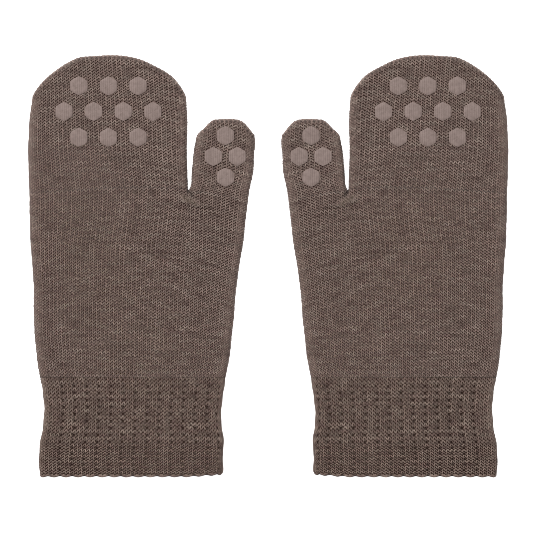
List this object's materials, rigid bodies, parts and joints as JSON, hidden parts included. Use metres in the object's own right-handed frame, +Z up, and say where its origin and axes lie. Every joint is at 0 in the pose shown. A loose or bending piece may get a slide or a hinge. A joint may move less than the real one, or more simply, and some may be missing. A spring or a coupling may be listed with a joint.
{
  "type": "pair of baby mittens",
  "caption": "Pair of baby mittens in fine knit with ribbed cuffs, a separate thumb and small grip pads on the palm side, lying flat side by side.",
  "frame": {"origin": "on the surface that the mittens lie on, under the middle of the pair's bounding box", "axes": "+X across the pair, from the right hand's mitten to the left hand's; +Y from the hems to the fingertips; +Z up, out of the palm side"},
  "size_m": [0.1846, 0.1624, 0.0048],
  "materials": {
    "hand_knit": "fine plain knit in brown and grey melange yarn, matt",
    "cuff_knit": "elastic ribbed knit in the same melange yarn, matt",
    "grip": "thin printed silicone, satin"
  },
  "bodies": {
    "root": {"right_hand_cuff": "cuff_knit", "right_hand_palm": "hand_knit", "right_hand_fingers": "hand_knit", "right_hand_thumb": "hand_knit", "right_hand_finger_grip_1_1": "grip", "right_hand_finger_grip_1_2": "grip", "right_hand_finger_grip_1_3": "grip", "right_hand_finger_grip_2_1": "grip", "right_hand_finger_grip_2_2": "grip", "right_hand_finger_grip_2_3": "grip", "right_hand_finger_grip_2_4": "grip", "right_hand_finger_grip_3_1": "grip", "right_hand_finger_grip_3_2": "grip", "right_hand_finger_grip_3_3": "grip", "right_hand_thumb_grip_1_1": "grip", "right_hand_thumb_grip_2_1": "grip", "right_hand_thumb_grip_2_2": "grip", "right_hand_thumb_grip_3_1": "grip", "left_hand_cuff": "cuff_knit", "left_hand_palm": "hand_knit", "left_hand_fingers": "hand_knit", "left_hand_thumb": "hand_knit", "left_hand_finger_grip_1_1": "grip", "left_hand_finger_grip_1_2": "grip", "left_hand_finger_grip_1_3": "grip", "left_hand_finger_grip_2_1": "grip", "left_hand_finger_grip_2_2": "grip", "left_hand_finger_grip_2_3": "grip", "left_hand_finger_grip_2_4": "grip", "left_hand_finger_grip_3_1": "grip", "left_hand_finger_grip_3_2": "grip", "left_hand_finger_grip_3_3": "grip", "left_hand_thumb_grip_1_1": "grip", "left_hand_thumb_grip_2_1": "grip", "left_hand_thumb_grip_2_2": "grip", "left_hand_thumb_grip_3_1": "grip"}
  },
  "joints": []
}
